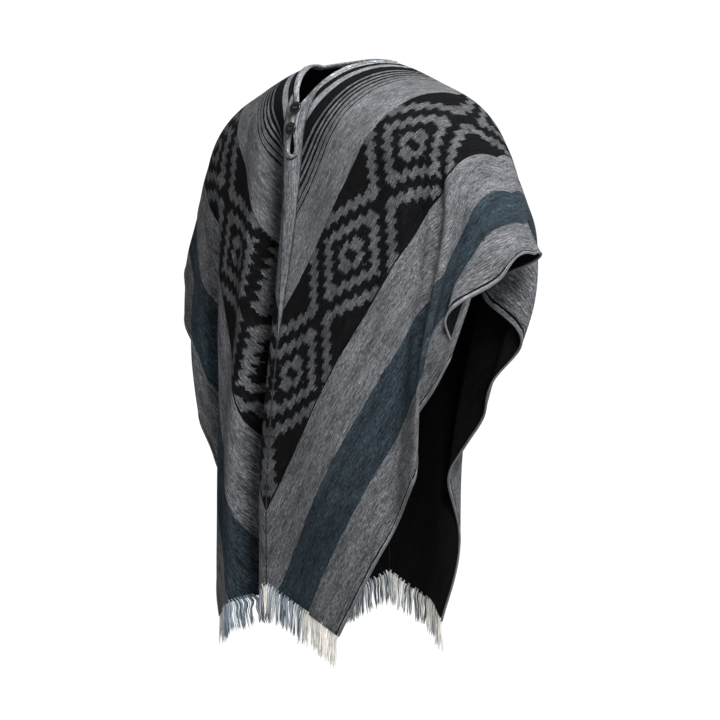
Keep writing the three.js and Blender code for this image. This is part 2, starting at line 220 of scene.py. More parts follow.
def along_shoulder(column, cloth):
    """A smooth curve through one column of the shoulder table, level at the centre."""
    places = SHOULDER[:, 0]
    values = SHOULDER[:, SHOULDER_COLUMNS.index(column)]
    last = len(places) - 1
    slopes = np.zeros(len(places))
    for i in range(1, last + 1):
        after = min(i + 1, last)
        slopes[i] = (values[after] - values[i - 1]) / (places[after] - places[i - 1])
    if column == "x":
        slopes[0] = values[1] / places[1]
    i = np.clip(np.searchsorted(places, cloth, side="left") - 1, 0, last - 1)
    span = places[i + 1] - places[i]
    t = (cloth - places[i]) / span
    t2 = t * t
    t3 = t2 * t
    return (
        (2 * t3 - 3 * t2 + 1) * values[i]
        + (t3 - 2 * t2 + t) * span * slopes[i]
        + (3 * t2 - 2 * t3) * values[i + 1]
        + (t3 - t2) * span * slopes[i + 1]
    )


def fold_line(x):
    """Flat height of the shoulder fold at a flat distance from the centre seam."""
    inside = x * x / (2 * NECK_HALF_WIDTH) - NECK_HALF_WIDTH / 2
    return math.tan(TILT) * np.where(x < NECK_HALF_WIDTH, inside, x - NECK_HALF_WIDTH)


def worn(sheet, x, y):
    """Where flat points lie when worn: x from the centre seam, y down from the shoulder point."""
    face, side = sheet.split("_")
    hang = dict(zip(HANG_COLUMNS, HANG[sheet]))
    below = y - fold_line(x)
    depth = along_shoulder(face + "_depth", x)
    drop = along_shoulder(face + "_drop", x)
    round_length = (math.pi / 2) * np.hypot(depth, drop) / math.sqrt(2)
    turn = (math.pi / 2) * np.clip(below / round_length, -0.05, 1)
    hanging = np.maximum(0, below - round_length)
    deep = smoothstep(0, SWAY_LENGTH, hanging)
    soon = smoothstep(0, ARM_SWAY_LENGTH, hanging)
    under_arm = smoothstep(0.150, 0.320, x)

    out = depth * np.sin(turn) + hang["forward"] * deep * (1 - under_arm)
    out = out + hang["arm_forward"] * soon * under_arm
    drawn = hang["draw_in"] * deep * smoothstep(hang["still"], 0.240, x)
    tucked = hang["tuck_in"] * soon * smoothstep(0.200, 0.400, x)
    across = along_shoulder("x", x) * (1 - drawn - tucked)
    height = along_shoulder("z", x) + hang["lift"] * smoothstep(0.150, 0.500, x)
    height = height - drop * (1 - np.cos(turn)) - hanging

    facing = ARM_TURN * (np.clip(x, 0, 0.5) / 0.5) ** ARM_TURN_POWER
    for at, width, ridge, slide, start, full in FOLDS[sheet]:
        away = (x - at) / width
        at_seam = smoothstep(0, 0.020, x) if at > 0 else 1
        share = np.exp(-away * away) * smoothstep(start, full, below) * at_seam
        across = across + share * (ridge * np.sin(facing) + slide * np.cos(facing))
        out = out + share * (ridge * np.cos(facing) - slide * np.sin(facing))
    across = across if side == "left" else -across
    out = -out if face == "front" else out
    return np.stack((across, out, height), axis=-1)


def outward(sheet, x, y):
    """The cloth's outward direction at flat points."""
    face, side = sheet.split("_")
    step = 0.0015
    across = worn(sheet, x + step, y) - worn(sheet, np.maximum(0, x - step), y)
    down = worn(sheet, x, y + step) - worn(sheet, x, y - step)
    normal = np.cross(across, down)
    if (face == "front") == (side == "left"):
        normal = -normal
    return normal / np.linalg.norm(normal, axis=-1, keepdims=True)


def small_creases(sheet, x, y):
    """How far the small creases lift the cloth. They fade out at the seams."""
    below = y - fold_line(x)
    lift = np.zeros_like(x)
    for at, width, height, start, end, lean in CREASES[sheet]:
        middle = at + lean * (below - start)
        away = (x - middle) / width
        reach = smoothstep(start, start + 0.06, below) * (1 - smoothstep(end - 0.10, end, below))
        lift += height * np.exp(-away * away) * reach
    waves = (
        0.0007 * np.sin(41 * x + 9 * y + 1.3) * np.sin(13 * y + 2.0)
        + 0.0005 * np.sin(83 * x - 17 * y + 0.4) * np.sin(23 * y + 31 * x)
    )
    return (lift + waves) * smoothstep(0.030, 0.070, x) * smoothstep(0.02, 0.10, below)


def cloth_points(sheet, x, y, offset):
    """Points of the cloth's middle surface, moved out by offset."""
    lifted = np.asarray(offset) + small_creases(sheet, x, y)
    return worn(sheet, x, y) + outward(sheet, x, y) * np.broadcast_to(lifted, x.shape)[..., None]


def flat_from_panel(u, v):
    """Panel places (u across from the neck edge, v along the warp from the fold) to flat ones."""
    x = NECK_HALF_WIDTH + u * math.cos(TILT) - v * math.sin(TILT)
    y = u * math.sin(TILT) + v * math.cos(TILT)
    return x, y


def placket_half_width(y):
    return PLACKET_TOP_HALF_WIDTH * np.clip((PLACKET_TIP - y) / (PLACKET_TIP - PLACKET_TOP), 0, 1)


def slit_half_gap(y):
    return SLIT_HALF_GAP + SLIT_BELLY * smoothstep(SLIT_TOP + 0.030, SLIT_BOTTOM - 0.020, y)


def nape_corner():
    reach = math.hypot(NECK_HALF_WIDTH, NAPE_DROP)
    angle = TILT + math.atan2(NAPE_DROP, NECK_HALF_WIDTH)
    return -reach * math.cos(angle), reach * math.sin(angle)


def nape_edge(v):
    u, full = nape_corner()
    return NECK_CUT + (u - NECK_CUT) * (v / full) * (0.35 + 0.65 * v / full)


def inner_edge(face, v):
    """Where a panel starts, across from its neck edge, at places along its warp."""
    def seam_at(half):
        return (half - NECK_HALF_WIDTH + v * math.sin(TILT)) / math.cos(TILT)

    if face == "back":
        return np.where(v >= nape_corner()[1], seam_at(SEAM_GAP / 2), nape_edge(v))
    u = seam_at(SEAM_GAP / 2)
    for _ in range(8):
        y = flat_from_panel(u, v)[1]
        u = seam_at(np.maximum(placket_half_width(y) + SEAM_GAP, SEAM_GAP / 2))
    return np.maximum(NECK_CUT, u)


# ---------------------------------------------------------------- meshes

def new_piece(name, points, faces, cad_nodes, finishes, finish_of_face=None, cut_map=None):
    """Make an object from points and faces, and put it in the frame in place of its CAD nodes."""
    mesh = bpy.data.meshes.new(name)
    mesh.from_pydata(np.asarray(points).tolist(), [], np.asarray(faces).tolist())
    mesh.polygons.foreach_set("use_smooth", [True] * len(mesh.polygons))
    for finish in finishes:
        mesh.materials.append(finish)
    if finish_of_face is not None:
        mesh.polygons.foreach_set("material_index", np.asarray(finish_of_face, dtype=np.int32))
    if cut_map is not None:
        layer = mesh.uv_layers.new(name="cut")
        corner = np.empty(len(mesh.loops), dtype=np.int32)
        mesh.loops.foreach_get("vertex_index", corner)
        layer.data.foreach_set("uv", np.asarray(cut_map, dtype=np.float32)[corner].ravel())
    mesh.validate()
    mesh.update()
    piece = bpy.data.objects.new(name, mesh)
    bpy.context.scene.collection.objects.link(piece)
    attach(piece, "root")
    if cad_nodes:
        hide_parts(*cad_nodes)
    return piece


def face_outward(points, faces):
    """Wind a closed surface's faces so that they point out."""
    corners = np.asarray(points)[np.asarray(faces)[:, :3]]
    volume = np.einsum("ij,ij->i", corners[:, 0], np.cross(corners[:, 1], corners[:, 2])).sum()
    return np.asarray(faces) if volume > 0 else np.asarray(faces)[:, ::-1]


def wall(outer, inner):
    """A wall between two grids of points: points, faces, and 0, 1 or 2 for outer, inner and rim."""
    rows, columns = outer.shape[:2]
    ids = np.arange(rows * columns).reshape(rows, columns)
    back = ids + rows * columns
    a, b, c, d = ids[:-1, :-1], ids[1:, :-1], ids[1:, 1:], ids[:-1, 1:]
    front_faces = np.stack((a, b, c, d), axis=-1).reshape(-1, 4)
    back_faces = (front_faces + rows * columns)[:, ::-1]
    ring = np.concatenate((ids[0, :-1], ids[:-1, -1], ids[-1, :0:-1], ids[:0:-1, 0]))
    back_ring = ring + (back[0, 0] - ids[0, 0])
    rim = np.stack((ring, np.roll(ring, -1), np.roll(back_ring, -1), back_ring), axis=-1)
    faces = np.concatenate((front_faces, back_faces, rim))
    kinds = np.concatenate((
        np.zeros(len(front_faces), int), np.ones(len(back_faces), int), np.full(len(rim), 2),
    ))
    points = np.concatenate((outer.reshape(-1, 3), inner.reshape(-1, 3)))
    return points, face_outward(points, faces), kinds


def tubes(lines, radii, sides):
    """Closed tubes along lines of shape (tubes, places, 3). radii has shape (tubes, places)."""
    lines = np.asarray(lines, float)
    count, places = lines.shape[:2]
    along = np.gradient(lines, axis=1)
    along /= np.linalg.norm(along, axis=-1, keepdims=True) + 1e-12
    helper = np.where(np.abs(along[..., 2:3]) < 0.9, (0.0, 0.0, 1.0), (0.0, 1.0, 0.0))
    wide = np.cross(along, helper)
    wide = wide - along * np.sum(wide * along, axis=-1, keepdims=True)
    wide /= np.linalg.norm(wide, axis=-1, keepdims=True) + 1e-12
    high = np.cross(along, wide)
    angle = 2 * np.pi * np.arange(sides) / sides
    ring = (
        wide[:, :, None] * np.cos(angle)[None, None, :, None]
        + high[:, :, None] * np.sin(angle)[None, None, :, None]
    )
    points = lines[:, :, None] + ring * np.asarray(radii)[:, :, None, None]
    ids = np.arange(count * places * sides).reshape(count, places, sides)
    a, b = ids[:, :-1], ids[:, 1:]
    faces = np.stack((a, b, np.roll(b, -1, axis=2), np.roll(a, -1, axis=2)), axis=-1).reshape(-1, 4)
    return points.reshape(-1, 3), faces


def resampled(line, step):
    """A line of points with even steps along it."""
    line = np.asarray(line, float)
    run = np.concatenate(([0.0], np.cumsum(np.linalg.norm(np.diff(line, axis=0), axis=1))))
    count = max(2, int(round(run[-1] / step)) + 1)
    places = np.linspace(0, run[-1], count)
    return np.stack([np.interp(places, run, line[:, k]) for k in range(line.shape[1])], axis=-1)


# ---------------------------------------------------------------- finishes

class Finish:
    """A material's nodes, added with short calls. Numbers and sockets may both be passed as inputs."""

    def __init__(self, name):
        self.material = bpy.data.materials.new(name)
        self.material.use_nodes = True
        self.tree = self.material.node_tree
        self.shader = self.tree.nodes["Principled BSDF"]

    def feed(self, socket, value):
        if isinstance(value, bpy.types.NodeSocket):
            self.tree.links.new(value, socket)
        elif isinstance(value, (tuple, list)) and len(value) == 3 and len(socket.default_value) == 4:
            socket.default_value = (*value, 1.0)
        else:
            socket.default_value = value

    def math(self, operation, first, second=0.0, third=0.0):
        node = self.tree.nodes.new("ShaderNodeMath")
        node.operation = operation
        for socket, value in zip(node.inputs, (first, second, third)):
            self.feed(socket, value)
        return node.outputs[0]

    def mix(self, share, first, second, blend="MIX"):
        node = self.tree.nodes.new("ShaderNodeMix")
        node.data_type = "RGBA"
        node.blend_type = blend
        self.feed(node.inputs["Factor"], share)
        self.feed(node.inputs[6], first)
        self.feed(node.inputs[7], second)
        return node.outputs[2]

    def ramp(self, value, stops, kind="LINEAR"):
        """Stops are (place, colour) with a colour of three numbers."""
        node = self.tree.nodes.new("ShaderNodeValToRGB")
        node.color_ramp.interpolation = kind
        elements = node.color_ramp.elements
        while len(elements) < len(stops):
            elements.new(1.0)
        for element, (place, colour) in zip(elements, stops):
            element.position = place
            element.color = (*colour, 1.0)
        self.feed(node.inputs[0], value)
        return node.outputs["Color"]

    def level(self, value, low, high):
        """0 at low, 1 at high, and smooth between."""
        node = self.tree.nodes.new("ShaderNodeMapRange")
        node.interpolation_type = "SMOOTHSTEP"
        self.feed(node.inputs[0], value)
        node.inputs[1].default_value = low
        node.inputs[2].default_value = high
        return node.outputs[0]

    def vector(self, x, y, z=0.0):
        node = self.tree.nodes.new("ShaderNodeCombineXYZ")
        for socket, value in zip(node.inputs, (x, y, z)):
            self.feed(socket, value)
        return node.outputs[0]

    def noise(self, vector, scale=1.0, detail=2.0, roughness=0.5):
        node = self.tree.nodes.new("ShaderNodeTexNoise")
        self.feed(node.inputs["Vector"], vector)
        node.inputs["Scale"].default_value = scale
        node.inputs["Detail"].default_value = detail
        node.inputs["Roughness"].default_value = roughness
        return node.outputs["Fac"]

    def cut_places(self):
        """The flat places of the cloth, across and along the warp, in metres."""
        node = self.tree.nodes.new("ShaderNodeUVMap")
        node.uv_map = "cut"
        split = self.tree.nodes.new("ShaderNodeSeparateXYZ")
        self.feed(split.inputs[0], node.outputs[0])
        return split.outputs[0], split.outputs[1]

    def object_places(self):
        node = self.tree.nodes.new("ShaderNodeTexCoord")
        return node.outputs["Object"]

    def grain(self, places, rates, depth=0.0, detail=2.0, roughness=0.5):
        """Noise drawn out along the warp: rates are its changes a metre, across and along."""
        scaled_places = [self.math("MULTIPLY", place, rate) for place, rate in zip(places, rates)]
        return self.noise(self.vector(*scaled_places, depth), detail=detail, roughness=roughness)

    def loosened(self, place, noise, reach):
        """A place moved either way by up to half of reach."""
        return self.math("MULTIPLY_ADD", self.math("SUBTRACT", noise, 0.5), reach, place)

    def tint(self, colour, value, *stops):
        """A colour made darker or paler by a value. Stops are (value, share)."""
        shares = self.ramp(value, [(place, (share, share, share)) for place, share in stops])
        return self.mix(1.0, colour, shares, "MULTIPLY")

    def bump(self, height, distance):
        node = self.tree.nodes.new("ShaderNodeBump")
        node.inputs["Distance"].default_value = distance
        self.feed(node.inputs["Height"], height)
        return node.outputs[0]

    def wool(self, colour, height, distance, sheen, sheen_tint):
        """Set the shader up as brushed wool."""
        self.feed(self.shader.inputs["Base Color"], colour)
        self.shader.inputs["Roughness"].default_value = 0.92
        self.shader.inputs["Specular IOR Level"].default_value = 0.03
        self.shader.inputs["Sheen Weight"].default_value = sheen
        self.shader.inputs["Sheen Roughness"].default_value = 0.45
        self.shader.inputs["Sheen Tint"].default_value = (*sheen_tint, 1.0)
        self.feed(self.shader.inputs["Normal"], self.bump(height, distance))
        return self.material


BRUSHED_DEPTH = 0.0016
CLOTH_SHEEN = (0.75, 0.78, 0.82)


def scaled(colour, share):
    return tuple(share * part for part in colour)


def heather(finish, places, colour, strength):
    """Pale and dark fibres along the warp over a colour. Returns the colour and the fibres' height."""
    fine = finish.grain(places, (1250, 160), detail=3, roughness=0.75)
    long_fibres = finish.grain(places, (700, 42), 4.0, detail=3, roughness=0.65)
    blotch = finish.grain(places, (70, 13), 9.0, detail=3)
    result = finish.tint(
        colour, fine, (0.34, 1 - 0.68 * strength), (0.50, 0.92), (0.68, 1 + 1.35 * strength))
    result = finish.tint(
        result, long_fibres, (0.36, 1 - 0.55 * strength), (0.64, 1 + 0.75 * strength))
    result = finish.tint(result, blotch, (0.32, 0.72), (0.68, 1.26))
    fine_height = finish.math("MULTIPLY", fine, 0.7)
    long_height = finish.math("MULTIPLY", long_fibres, 0.5)
    return result, finish.math("ADD", fine_height, long_height)


def diamond_pattern(finish, places):
    """1 on the grey lines of the stepped diamonds, 0 on their black ground."""
    across, along = places
    middle = (DIAMOND_BAND[0] + DIAMOND_BAND[1]) / 2
    step_across = (DIAMOND_BAND[1] - DIAMOND_BAND[0]) / 2 / DIAMOND_STEPS
    step_along = DIAMOND_REPEAT / 2 / DIAMOND_STEPS
    feather = finish.grain(places, (420, 60), 2.0, detail=3, roughness=0.7)
    thread = finish.grain(places, (60, 200), 6.0)
    loose_along = finish.loosened(along, feather, 0.015)
    loose_across = finish.loosened(across, thread, 0.009)

    from_middle = finish.math("ABSOLUTE", finish.math("SUBTRACT", loose_across, middle))
    whole_steps = finish.math("FLOOR", finish.math("DIVIDE", from_middle, step_across))
    steps_out = finish.math("ADD", whole_steps, 0.5)
    past_first = finish.math("SUBTRACT", loose_along, DIAMOND_FIRST)
    from_centre = finish.math("PINGPONG", past_first, DIAMOND_REPEAT / 2)
    steps_down = finish.math("DIVIDE", from_centre, step_along)
    ring = finish.math("DIVIDE", finish.math("ADD", steps_out, steps_down), 2 * DIAMOND_STEPS)
    on, off = (1.0, 1.0, 1.0), (0.0, 0.0, 0.0)
    stops = [(0.0, off)]
    for start, end in DIAMOND_RINGS:
        stops += [(start - RING_SOFTNESS, off), (start, on), (end - RING_SOFTNESS, on), (end, off)]
    return finish.ramp(ring, stops)


def striped_wool(colours):
    """The outer face of the panels: black and grey stripes, a slate band and stepped diamonds."""
    finish = Finish("striped_wool")
    places = finish.cut_places()
    across = places[0]
    ragged = finish.grain(places, (500, 40))
    edge = finish.loosened(across, ragged, 0.0022)
    stops = [(place / PANEL_WIDTH, tuple(getattr(colours, tone))) for place, tone in STRIPES]
    stripes = finish.ramp(finish.math("DIVIDE", edge, PANEL_WIDTH), stops, "CONSTANT")
    past_start = finish.math("GREATER_THAN", edge, DIAMOND_BAND[0])
    before_end = finish.math("LESS_THAN", edge, DIAMOND_BAND[1])
    in_band = finish.math("MULTIPLY", past_start, before_end)
    lines = diamond_pattern(finish, places)
    diamonds = finish.mix(lines, tuple(colours.black), tuple(colours.diamond))
    colour = finish.mix(in_band, stripes, diamonds)
    mottled, height = heather(finish, places, colour, 1.0)
    quiet = finish.math("MULTIPLY_ADD", finish.level(across, 0.09, 0.30), 0.25, 0.75)
    return finish.wool(finish.mix(quiet, colour, mottled), height, BRUSHED_DEPTH, 0.008, CLOTH_SHEEN)


def plain_wool(name, tone, strength):
    """One colour of brushed wool, with its fibres along the warp."""
    finish = Finish(name)
    colour, height = heather(finish, finish.cut_places(), tone, strength)
    return finish.wool(colour, height, BRUSHED_DEPTH, 0.008, CLOTH_SHEEN)


def yarn(name, tone):
    """Loose or twisted yarn, coloured by place because its pieces are too small for a cut map."""
    finish = Finish(name)
    places = finish.object_places()
    fibres = finish.noise(places, scale=900, detail=3, roughness=0.7)
    clumps = finish.noise(places, scale=70, detail=2)
    shade = finish.math("MULTIPLY", finish.level(fibres, 0.45, 0.70), 0.4)
    colour = finish.mix(shade, tone, scaled(tone, 0.45))
    colour = finish.tint(colour, clumps, (0.3, 0.82), (0.7, 1.1))
    return finish.wool(colour, fibres, 0.0004, 0.02, (0.9, 0.9, 0.9))


def horn_finish(colours):
    """Dark horn with faint paler streaks, softly polished."""
    finish = Finish("horn")
    places = finish.object_places()
    streaks = finish.noise(places, scale=160, detail=4, roughness=0.6)
    dark = tuple(colours.horn)
    colour = finish.ramp(streaks, ((0.35, dark), (0.75, scaled(dark, 2.6))))
    finish.feed(finish.shader.inputs["Base Color"], colour)
    scratches = finish.noise(places, scale=1400, detail=2)
    roughness = finish.math("ADD", 0.18, finish.math("MULTIPLY", scratches, 0.12))
    finish.feed(finish.shader.inputs["Roughness"], roughness)
    finish.shader.inputs["Specular IOR Level"].default_value = 0.22
    finish.shader.inputs["Coat Weight"].default_value = 0.12
    finish.shader.inputs["Coat Roughness"].default_value = 0.2
    finish.feed(finish.shader.inputs["Normal"], finish.bump(streaks, 0.0002))
    return finish.material


# ---------------------------------------------------------------- settings

class PonchoCloth(bpy.types.PropertyGroup):
    columns: IntProperty(name="Columns", description="Steps across a panel", default=116, min=20, max=160)
    rows: IntProperty(name="Rows", description="Steps along half a panel", default=190, min=40, max=260)
    edging_radius: FloatProperty(
        name="Edging", description="Radius of the overcast selvedge", default=0.0019, unit="LENGTH")
    seam_radius: FloatProperty(
        name="Seam", description="Radius of the ridge along each seam", default=0.0011, unit="LENGTH")
    binding_half_width: FloatProperty(
        name="Binding", description="Half the width of the neck binding", default=0.0070, unit="LENGTH")
    stitch_spacing: FloatProperty(
        name="Stitches", description="Distance between two binding stitches", default=0.0046, unit="LENGTH")


class PonchoFringe(bpy.types.PropertyGroup):
    length: FloatProperty(name="Length", description="Length of the fringe", default=0.058, unit="LENGTH")
    spacing: FloatProperty(
        name="Spacing", description="Distance between two tassels", default=0.0038, unit="LENGTH")
    yarn_radius: FloatProperty(
        name="Yarn", description="Radius of a loose yarn", default=0.00088, unit="LENGTH")
    yarns: IntProperty(name="Yarns", description="Yarns in each tassel", default=8, min=1, max=12)
    seed: IntProperty(name="Seed", description="Which set of chance places the yarns take", default=7)


class PonchoButtons(bpy.types.PropertyGroup):
    radius: FloatProperty(name="Radius", description="Radius of a button", default=0.010, unit="LENGTH")
    thickness: FloatProperty(
        name="Thickness", description="Thickness of a button", default=0.004, unit="LENGTH")
    hole_radius: FloatProperty(name="Holes", description="Radius of a hole", default=0.0011, unit="LENGTH")
    hole_spread: FloatProperty(
        name="Spread", description="Distance from the middle to a hole", default=0.0028, unit="LENGTH")


class PonchoColours(bpy.types.PropertyGroup):
    black: FloatVectorProperty(
        name="Black", description="Black yarn", subtype="COLOR", default=(0.0024, 0.0025, 0.0028))
    grey: FloatVectorProperty(
        name="Grey", description="Mid grey yarn", subtype="COLOR", default=(0.062, 0.064, 0.068))
    pale: FloatVectorProperty(
        name="Pale grey", description="Pale grey yarn", subtype="COLOR", default=(0.115, 0.120, 0.128))
    diamond: FloatVectorProperty(
        name="Diamond grey", description="Grey lines of the diamonds", subtype="COLOR",
        default=(0.040, 0.0415, 0.044))
    slate: FloatVectorProperty(
        name="Slate", description="Slate blue yarn", subtype="COLOR", default=(0.0145, 0.0205, 0.0255))
    placket: FloatVectorProperty(
        name="Placket", description="Plain wool round the slit", subtype="COLOR",
        default=(0.082, 0.087, 0.093))
    reverse: FloatVectorProperty(
        name="Reverse", description="Inside of the cloth", subtype="COLOR",
        default=(0.0022, 0.0023, 0.0026))
    binding: FloatVectorProperty(
        name="Binding", description="Neck binding", subtype="COLOR", default=(0.125, 0.131, 0.139))
    cream: FloatVectorProperty(
        name="Cream", description="Cream fringe yarn", subtype="COLOR", default=(0.62, 0.60, 0.56))
    ice: FloatVectorProperty(
        name="Pale blue-grey", description="Pale blue-grey fringe yarn", subtype="COLOR",
        default=(0.23, 0.28, 0.33))
    horn: FloatVectorProperty(
        name="Horn", description="Buttons", subtype="COLOR", default=(0.0022, 0.0021, 0.0020))


class PonchoStage(bpy.types.PropertyGroup):
    azimuth: FloatProperty(
        name="Azimuth", description="Camera's turn to the wearer's left of the front",
        default=math.radians(40), subtype="ANGLE")
    elevation: FloatProperty(
        name="Elevation", description="Camera's height angle", default=math.radians(4), subtype="ANGLE")
    distance: FloatProperty(name="Distance", description="Camera to the cloth", default=3.2, unit="LENGTH")
    lens: FloatProperty(name="Lens", description="Focal length in millimetres", default=105.3)
    floor: FloatProperty(
        name="Floor", description="Height of the floor under the shoulders", default=-1.42, unit="LENGTH")
    key: FloatProperty(name="Key", description="Power of the key light", default=95.0, unit="POWER")
    fill: FloatProperty(name="Fill", description="Power of the fill light", default=11.0, unit="POWER")
    top: FloatProperty(name="Top", description="Strength of the light from above", default=1.8)
    white: FloatProperty(name="White", description="Strength of the white near the horizon", default=1.05)
    white_height: FloatProperty(
        name="White height", description="How far the white reaches up", default=0.12)
    pale: FloatProperty(name="Pale", description="Strength of the other surroundings", default=0.20)


# ---------------------------------------------------------------- pieces

def panel_places(columns, rows):
    """Grids of a panel's places, from the back hem over the shoulder to the front hem."""
    share = np.linspace(-1, 1, 2 * rows + 1)
    v_line = PANEL_HALF_LENGTH * np.abs(share) ** 1.15
    in_front = share > 0
    start = np.where(in_front, inner_edge("front", v_line), inner_edge("back", v_line))
    across = np.linspace(0, 1, columns + 1)
    u = start[:, None] + (PANEL_WIDTH - start[:, None]) * across[None, :]
    v = np.broadcast_to(v_line[:, None], u.shape)
    return u, v, in_front


def panel_points(side, u, v, in_front, offset):
    x, y = flat_from_panel(u, v)
    points = np.empty(u.shape + (3,))
    front, back = in_front, ~in_front
    points[front] = cloth_points("front_" + side, x[front], y[front], offset)
    points[back] = cloth_points("back_" + side, x[back], y[back], offset)
    return points


class PONCHO_OT_panels(bpy.types.Operator):
    """Build the two striped panels, each worn over one shoulder"""
    bl_idname = "poncho.panels"
    bl_label = "Panels"

    def execute(self, context):
        cloth = context.scene.poncho_cloth
        colours = context.scene.poncho_colours
        outside = striped_wool(colours)
        inside = plain_wool("reverse_wool", tuple(colours.reverse), 0.6)
        for side in SIDES:
            u, v, in_front = panel_places(cloth.columns, cloth.rows)
            outer = panel_points(side, u, v, in_front, CLOTH / 2)
            inner = panel_points(side, u, v, in_front, -CLOTH / 2)
            points, faces, kinds = wall(outer, inner)
            along = np.where(in_front[:, None], v, -v)
            cut = np.stack((u, along), axis=-1).reshape(-1, 2)
            new_piece(
                "striped_panel_" + side, points, faces, ["panel_" + side],
                [outside, inside], np.where(kinds == 1, 1, 0), np.concatenate((cut, cut)))
        return {"FINISHED"}


def placket_places(steps_round, steps_across):
    """Places of the wedge of cloth round the slit, from its right top round the foot to its left top."""
    swing = np.linspace(-1, 1, steps_round + 1)
    away = np.abs(swing)
    outer_y = PLACKET_TIP - (PLACKET_TIP - PLACKET_TOP) * away
    outer_x = placket_half_width(outer_y)
    foot_gap = float(slit_half_gap(SLIT_BOTTOM))
    foot = np.minimum(1, away * 3) * (math.pi / 2)
    straight = SLIT_BOTTOM - foot_gap + (SLIT_TOP - SLIT_BOTTOM + foot_gap) * (away - 1 / 3) / (2 / 3)
    inner_y = np.where(away < 1 / 3, SLIT_BOTTOM - foot_gap * (1 - np.cos(foot)), straight)
    inner_x = slit_half_gap(inner_y) * np.sin(foot)
    t = np.linspace(0, 1, steps_across + 1)
    x = inner_x[:, None] * (1 - t) + outer_x[:, None] * t
    y = inner_y[:, None] * (1 - t) + outer_y[:, None] * t
    return x, y, swing < 0


def front_points(x, y, on_right, offset):
    points = np.empty(x.shape + (3,))
    points[on_right] = cloth_points("front_right", x[on_right], y[on_right], offset)
    points[~on_right] = cloth_points("front_left", x[~on_right], y[~on_right], offset)
    return points


class PONCHO_OT_placket(bpy.types.Operator):
    """Build the plain wedge of cloth round the slit"""
    bl_idname = "poncho.placket"
    bl_label = "Placket"

    def execute(self, context):
        colours = context.scene.poncho_colours
        x, y, on_right = placket_places(*PLACKET_STEPS)
        outer = front_points(x, y, on_right, CLOTH / 2)
        inner = front_points(x, y, on_right, -CLOTH / 2)
        points, faces, _ = wall(outer, inner)
        across = np.where(on_right[:, None], -x, x)
        cut = np.stack((across, y), axis=-1).reshape(-1, 2)
        finish = plain_wool("placket_wool", tuple(colours.placket), 1.0)
        new_piece("slit_placket", points, faces, ["placket"], [finish], None,
                  np.concatenate((cut, cut)))
        return {"FINISHED"}


def binding_line(half_width):
    """The binding's centre line from the slit's foot to the nape: face, x, y and half width."""
    inset = BINDING_SLIT_HALF_WIDTH + BINDING_SLIT_CLEAR
    foot_gap = float(slit_half_gap(SLIT_BOTTOM))
    line = []
    for turn in np.linspace(0, math.pi / 2, 13):
        reach = foot_gap - inset
        y = SLIT_BOTTOM - foot_gap + reach * math.cos(turn)
        line.append(("front", reach * math.sin(turn), y, BINDING_SLIT_HALF_WIDTH))
    for y in np.linspace(SLIT_BOTTOM - foot_gap, SLIT_TOP - 0.004, 25)[1:]:
        line.append(("front", float(slit_half_gap(y)) - inset, y, BINDING_SLIT_HALF_WIDTH))
    for t in np.linspace(0, 1, 36)[5:]:
        half = BINDING_SLIT_HALF_WIDTH + (half_width - BINDING_SLIT_HALF_WIDTH) * min(1, t * 7 / 4)
        x, y = flat_from_panel(NECK_CUT - half - BINDING_CLEAR, 0.146 * (1 - t))
        line.append(("front", x, y, half))
    nape_v = nape_corner()[1]
    for t in np.linspace(0, 1, 31)[1:]:
        v = nape_v * t
        x, y = flat_from_panel(nape_edge(v), v)
        x_next, y_next = flat_from_panel(nape_edge(v + 0.0005), v + 0.0005)
        away = (half_width + BINDING_CLEAR) / math.hypot(x_next - x, y_next - y)
        across = 0.0 if t == 1 else x - (y_next - y) * away
        line.append(("back", across, y + (x_next - x) * away, half_width))
    return line


def binding_path(half_width):
    """The whole loop of the binding: centres, outward directions and half widths."""
    centres, ups, halves = [], [], []
    line = binding_line(half_width)
    loop = [("left", place) for place in line] + [("right", place) for place in line[-2:0:-1]]
    for side, (face, x, y, half) in loop:
        sheet = f"{face}_{side}"
        x, y = np.array([max(x, 0.0)]), np.array([y])
        centres.append(worn(sheet, x, y)[0])
        ups.append(outward(sheet, x, y)[0])
        halves.append(half)
    centres, ups, halves = np.array(centres), np.array(ups), np.array(halves)
    kernel = (0.25, 0.5, 0.25)
    for _ in range(6):
        ups = sum(k * np.roll(ups, shift, axis=0) for k, shift in zip(kernel, (-1, 0, 1)))
    return centres, ups / np.linalg.norm(ups, axis=1, keepdims=True), halves


def loop_tube(centres, wide, high, half_wide, half_high, sides):
    """A closed ring of oval section."""
    count = len(centres)
    angle = 2 * np.pi * np.arange(sides) / sides
    points = (
        centres[:, None]
        + wide[:, None] * (np.asarray(half_wide)[:, None] * np.cos(angle))[..., None]
        + high[:, None] * (np.asarray(half_high)[:, None] * np.sin(angle))[..., None]
    )
    ids = np.arange(count * sides).reshape(count, sides)
    after = np.roll(ids, -1, axis=0)
    corners = (ids, after, np.roll(after, -1, axis=1), np.roll(ids, -1, axis=1))
    faces = np.stack(corners, axis=-1).reshape(-1, 4)
    run = np.concatenate(([0.0], np.cumsum(np.linalg.norm(np.diff(centres, axis=0), axis=1))))
    cut = np.broadcast_arrays(0.004 * np.sin(angle)[None, :], run[:, None])
    return points.reshape(-1, 3), faces, np.stack(cut, axis=-1).reshape(-1, 2)


